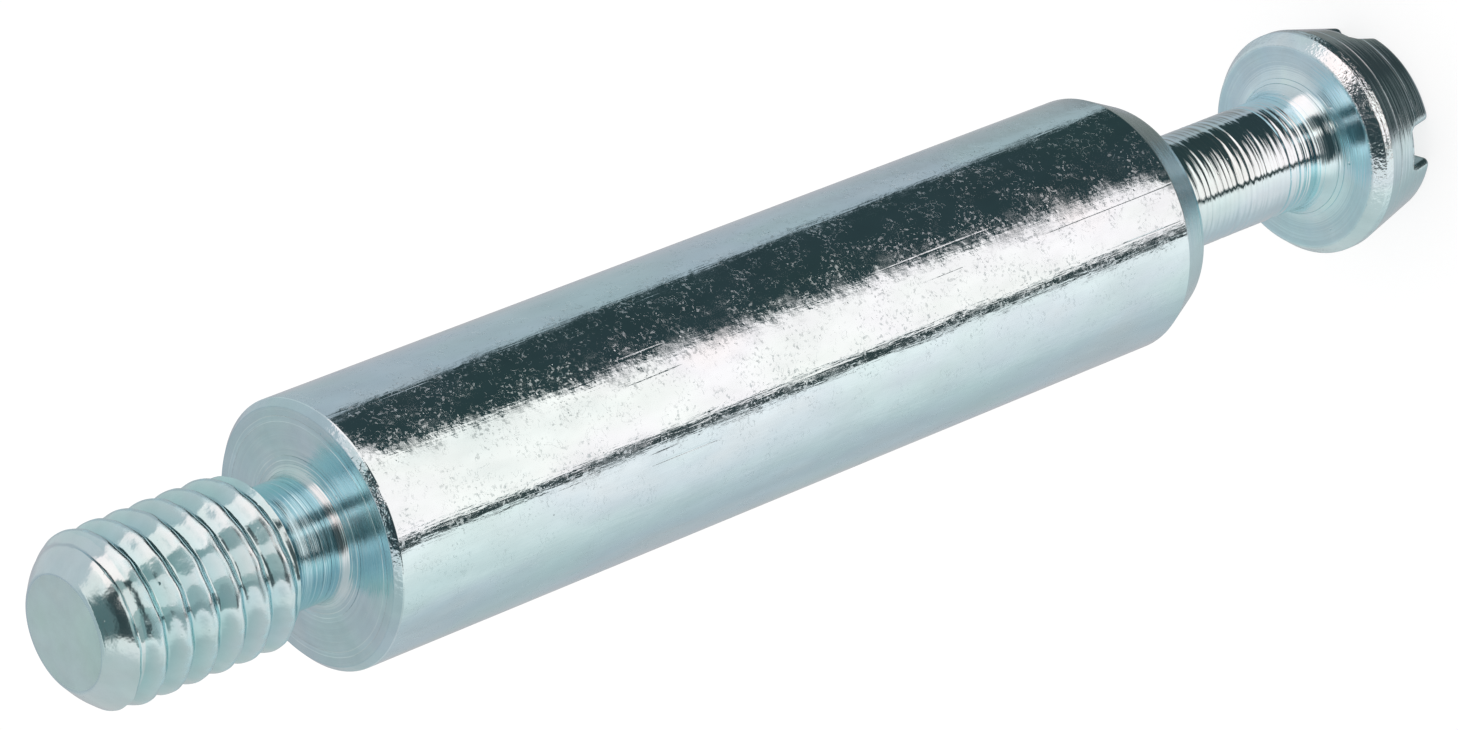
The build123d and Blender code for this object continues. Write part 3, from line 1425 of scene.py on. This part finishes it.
@dataclass(frozen=True)
class Studio:
    """The light tent, the floor and the camera, in metres.

    Mirrors see the tent. The camera sees plain white behind the bolt, and everything matt is lit evenly.
    """

    camera_place: tuple[float, float, float] = (0.079181, -0.152113, 0.111634)
    camera_right: tuple[float, float, float] = (-0.067703, -0.666520, -0.742400)
    camera_up: tuple[float, float, float] = (0.927383, 0.232368, -0.293190)
    camera_lens: float = 161.972
    camera_sensor: float = 36.0
    camera_reach: Span = (0.01, 10.0)
    floor_height: float = -0.04795
    floor_size: float = 3.0
    floor_grey: Colour = (0.30, 0.30, 0.30)
    floor_glow: float = 0.78
    far_bearing: float = 117.45
    matt_light: Colour = (0.85, 0.85, 0.85)
    backdrop: Colour = (1.0, 1.0, 1.0)

    def camera(self) -> None:
        """Places the camera at the photograph's viewing angle."""
        data = bpy.data.cameras.new("camera")
        data.lens, data.sensor_width = self.camera_lens, self.camera_sensor
        data.clip_start, data.clip_end = self.camera_reach
        right, up = np.array(self.camera_right), np.array(self.camera_up)
        right, up = right / np.linalg.norm(right), up / np.linalg.norm(up)
        matrix = np.eye(4)
        matrix[:3, 0], matrix[:3, 1], matrix[:3, 2] = right, up, np.cross(right, up)
        matrix[:3, 3] = self.camera_place
        camera = link_object("camera", data)
        camera.matrix_world = Matrix(matrix.tolist())
        bpy.context.scene.camera = camera

    def floor(self) -> None:
        """Lays the floor: a plain pale sheet that keeps the bolt's soft shadow and that mirrors don't see."""
        material, n, surface = new_material("pale_floor")
        matt = n.add("ShaderNodeBsdfDiffuse", {"Color": self.floor_grey})
        glow = n.add("ShaderNodeEmission", {"Color": (1.0, 1.0, 1.0), "Strength": self.floor_glow})
        both = n.add("ShaderNodeAddShader")
        n.plug(both.inputs[0], matt.outputs[0])
        n.plug(both.inputs[1], glow.outputs[0])
        n.plug(surface, both.outputs[0])
        half = self.floor_size / 2
        corners = [(x * half, y * half, self.floor_height) for x, y in ((-1, -1), (1, -1), (1, 1), (-1, 1))]
        floor = new_sheet("floor", corners, material)
        floor.visible_glossy = False

    def tent(self) -> None:
        """The light tent round the bolt, as light that depends on its direction.

        The turn counts the bearing from the side that faces away from the camera, and the lift is the height
        over the horizon, both in degrees. Pale walls stand all round, and the sheets hang before them one
        after another.
        """
        world = bpy.data.worlds.new("light_tent")
        bpy.context.scene.world = world
        world.use_nodes = True
        n = Nodes(world.node_tree)
        n.tree.nodes.clear()
        way = n.add("ShaderNodeTexCoord").outputs["Generated"]
        axes = n.add("ShaderNodeSeparateXYZ", {"Vector": way}).outputs
        bearing = n.sum("DEGREES", n.sum("ARCTAN2", axes["Y"], axes["X"]))
        lift = n.sum("DEGREES", n.sum("ARCSINE", axes["Z"]))
        turn = n.sum("FLOORED_MODULO", n.sum("SUBTRACT", bearing, self.far_bearing), 360.0)
        light = n.ramp(n.sum("DIVIDE", turn, 360.0), [(t / 360, colour) for t, colour in WALLS])
        for sheet in SHEETS:
            light = n.mix(sheet.cover(n, turn, lift), light, sheet.colour)
            light.node.label = sheet.name
        path = n.add("ShaderNodeLightPath").outputs
        light = n.mix(path["Is Diffuse Ray"], light, self.matt_light)
        light = n.mix(path["Is Camera Ray"], light, self.backdrop)
        glow = n.add("ShaderNodeBackground", {"Color": light, "Strength": 1.0})
        n.plug(n.add("ShaderNodeOutputWorld").inputs["Surface"], glow.outputs[0])


def dress(bolt: bpy.types.Object) -> None:
    """Gives the bolt its material slots, in the order of the skins.

    Args:
        bolt: the bolt.
    """
    groups = Groups.make()
    for skin in Skin:
        bolt.data.materials.append(FINISHES[skin].material(groups))
    LOG.info("%s: %d finishes", bolt.name, len(bolt.data.materials))


def main() -> None:
    """Builds the bolt, the studio and the camera."""
    logging.basicConfig(level=logging.INFO, format="%(name)s: %(message)s")
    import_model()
    bpy.context.scene.view_settings.view_transform = "Standard"
    bolt = CamBolt().build()
    dress(bolt)
    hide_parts("cam_bolt")
    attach(bolt, "root")
    studio = Studio()
    studio.camera()
    studio.floor()
    for card in CARDS:
        card.hang(studio.far_bearing)
    studio.tent()


if __name__ == "__main__":
    main()
